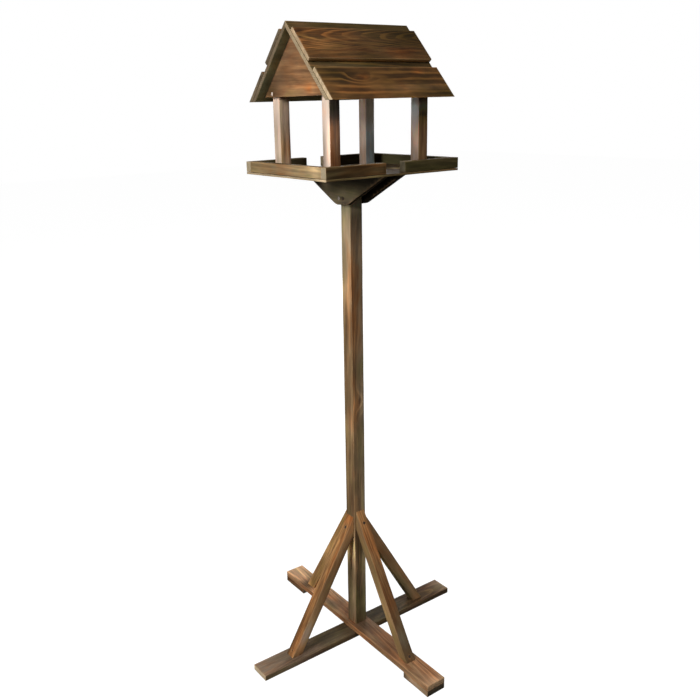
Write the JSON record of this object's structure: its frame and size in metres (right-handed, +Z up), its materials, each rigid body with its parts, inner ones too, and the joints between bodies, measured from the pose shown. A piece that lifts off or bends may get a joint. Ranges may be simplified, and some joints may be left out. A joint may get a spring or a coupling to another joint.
{
  "type": "bird table",
  "caption": "Free-standing timber bird table: railed feeding tray under a pitched roof on a braced post and cross base.",
  "frame": {"origin": "on the ground at the centre of the cross base, under the post", "axes": "+Z up along the post, X along the ridge and the lower base board, Y across the roof along the upper base board"},
  "size_m": [0.6, 0.6, 1.484],
  "materials": {
    "base_timber": "dark stained softwood, matt",
    "post_timber": "dark stained softwood, matt",
    "brace_timber": "dark stained softwood, matt",
    "tray_timber": "dark stained softwood, matt",
    "house_timber": "dark stained softwood, matt",
    "gable_timber": "dark stained softwood, matt",
    "roof_timber": "dark stained softwood, matt",
    "zinc_screw": "zinc-plated, cross recess"
  },
  "bodies": {
    "root": {"base_board_lower": "base_timber", "base_board_upper": "base_timber", "brace_back": "brace_timber", "brace_back_foot_screw": "zinc_screw", "brace_back_head_screw": "zinc_screw", "brace_front": "brace_timber", "brace_front_foot_screw": "zinc_screw", "brace_front_head_screw": "zinc_screw", "brace_left": "brace_timber", "brace_left_foot_screw": "zinc_screw", "brace_left_head_screw": "zinc_screw", "brace_right": "brace_timber", "brace_right_foot_screw": "zinc_screw", "brace_right_head_screw": "zinc_screw", "end_rail_left": "tray_timber", "end_rail_right": "tray_timber", "gable_left": "gable_timber", "gable_left_screw_back": "zinc_screw", "gable_left_screw_front": "zinc_screw", "gable_right": "gable_timber", "gable_right_screw_back": "zinc_screw", "gable_right_screw_front": "zinc_screw", "gusset_left": "post_timber", "gusset_left_screw_back": "zinc_screw", "gusset_left_screw_front": "zinc_screw", "gusset_right": "post_timber", "gusset_right_screw_back": "zinc_screw", "gusset_right_screw_front": "zinc_screw", "packer_back": "base_timber", "packer_back_screw_a": "zinc_screw", "packer_back_screw_b": "zinc_screw", "packer_front": "base_timber", "packer_front_screw_a": "zinc_screw", "packer_front_screw_b": "zinc_screw", "post": "post_timber", "post_screw_a": "zinc_screw", "post_screw_b": "zinc_screw", "roof_board_back_lower": "roof_timber", "roof_board_back_upper": "roof_timber", "roof_board_front_lower": "roof_timber", "roof_board_front_upper": "roof_timber", "roof_panel_back": "roof_timber", "roof_panel_front": "roof_timber", "roof_post_back_left": "house_timber", "roof_post_back_left_screw": "zinc_screw", "roof_post_back_right": "house_timber", "roof_post_back_right_screw": "zinc_screw", "roof_post_front_left": "house_timber", "roof_post_front_left_screw": "zinc_screw", "roof_post_front_right": "house_timber", "roof_post_front_right_screw": "zinc_screw", "side_rail_back_left": "tray_timber", "side_rail_back_right": "tray_timber", "side_rail_front_left": "tray_timber", "side_rail_front_right": "tray_timber", "tray_floor": "tray_timber", "tray_screw_a": "zinc_screw", "tray_screw_b": "zinc_screw"}
  },
  "joints": []
}
